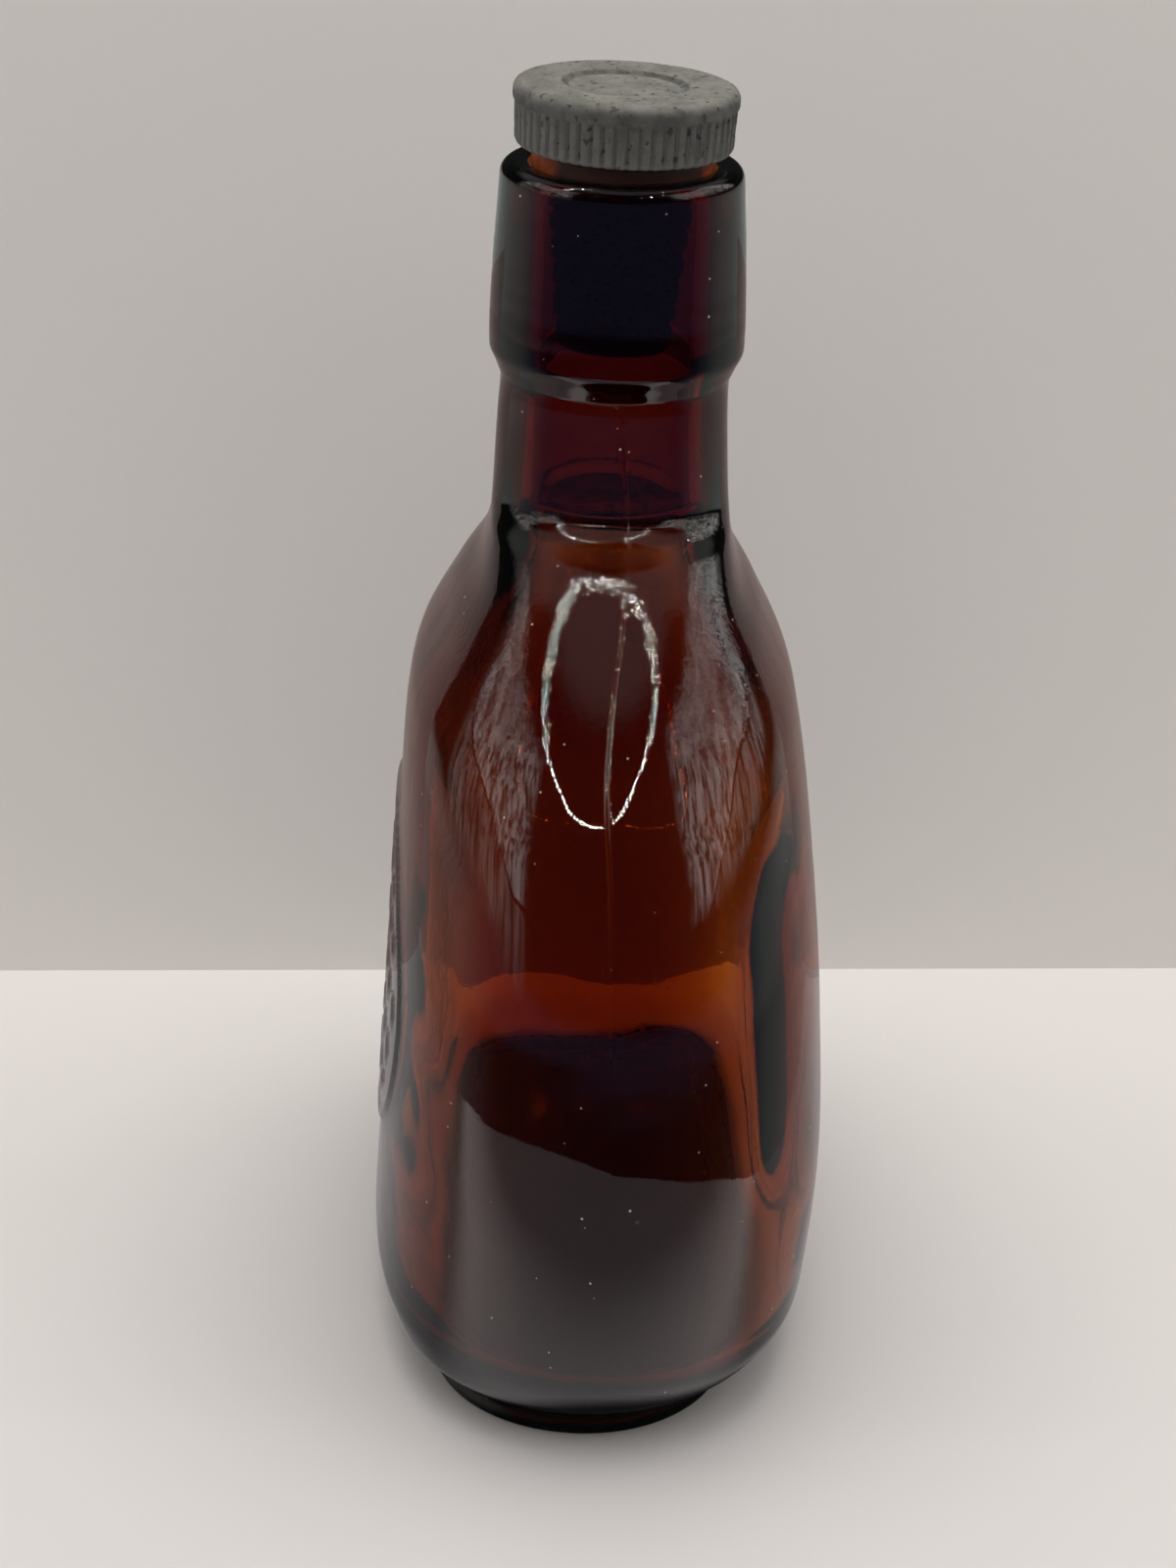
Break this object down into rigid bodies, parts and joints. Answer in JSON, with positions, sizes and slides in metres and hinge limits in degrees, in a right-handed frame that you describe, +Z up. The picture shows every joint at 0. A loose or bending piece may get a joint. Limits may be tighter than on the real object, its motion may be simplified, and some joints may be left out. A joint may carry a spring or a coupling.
{
  "type": "stoppered glass bottle",
  "caption": "Flattened amber glass flask with a thick rounded mouth and an oval foot, closed by a grey ribbed screw stopper on an orange rubber ring.",
  "frame": {"origin": "on the floor, under the middle of the bounding box", "axes": "+Z up through the mouth, X along the wide face, -Y out of the front face, which carries the low oval panel"},
  "size_m": [0.1264, 0.066, 0.1779],
  "materials": {
    "amber_glass": "clear, deep amber brown, smooth with light scratches",
    "hard_rubber": "weathered grey, dull, pitted",
    "orange_rubber": "dull orange"
  },
  "bodies": {
    "root": {"bottle": "amber_glass", "stopper": "hard_rubber", "rubber_ring": "orange_rubber"}
  },
  "joints": []
}
